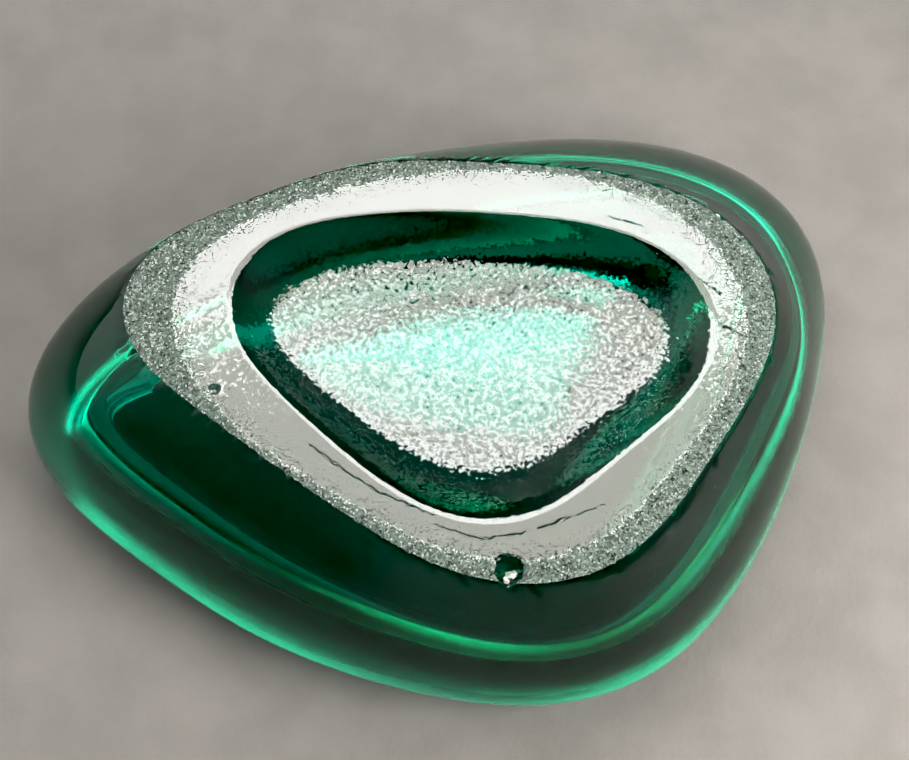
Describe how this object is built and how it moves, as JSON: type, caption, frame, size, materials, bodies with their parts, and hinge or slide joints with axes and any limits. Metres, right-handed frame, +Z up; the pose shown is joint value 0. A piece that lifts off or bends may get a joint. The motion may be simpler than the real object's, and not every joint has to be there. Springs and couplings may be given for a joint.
{
  "type": "art glass bowl",
  "caption": "Thick emerald art glass bowl with a rounded-triangle plan, flared wall and ground foot ring, stored mouth down on its rim.",
  "frame": {"origin": "middle of the bounding box's base, on the surface that the rim rests on", "axes": "+X along the bowl's length, +Y across it, +Z up, out of the ground foot: the bowl is stored mouth down"},
  "size_m": [0.15, 0.1116, 0.038],
  "materials": {
    "emerald_glass": "fire polished",
    "ground_glass": "ground"
  },
  "bodies": {
    "root": {"outer_gather": "emerald_glass", "inner_gather": "emerald_glass", "foot_ring": "ground_glass"}
  },
  "joints": []
}
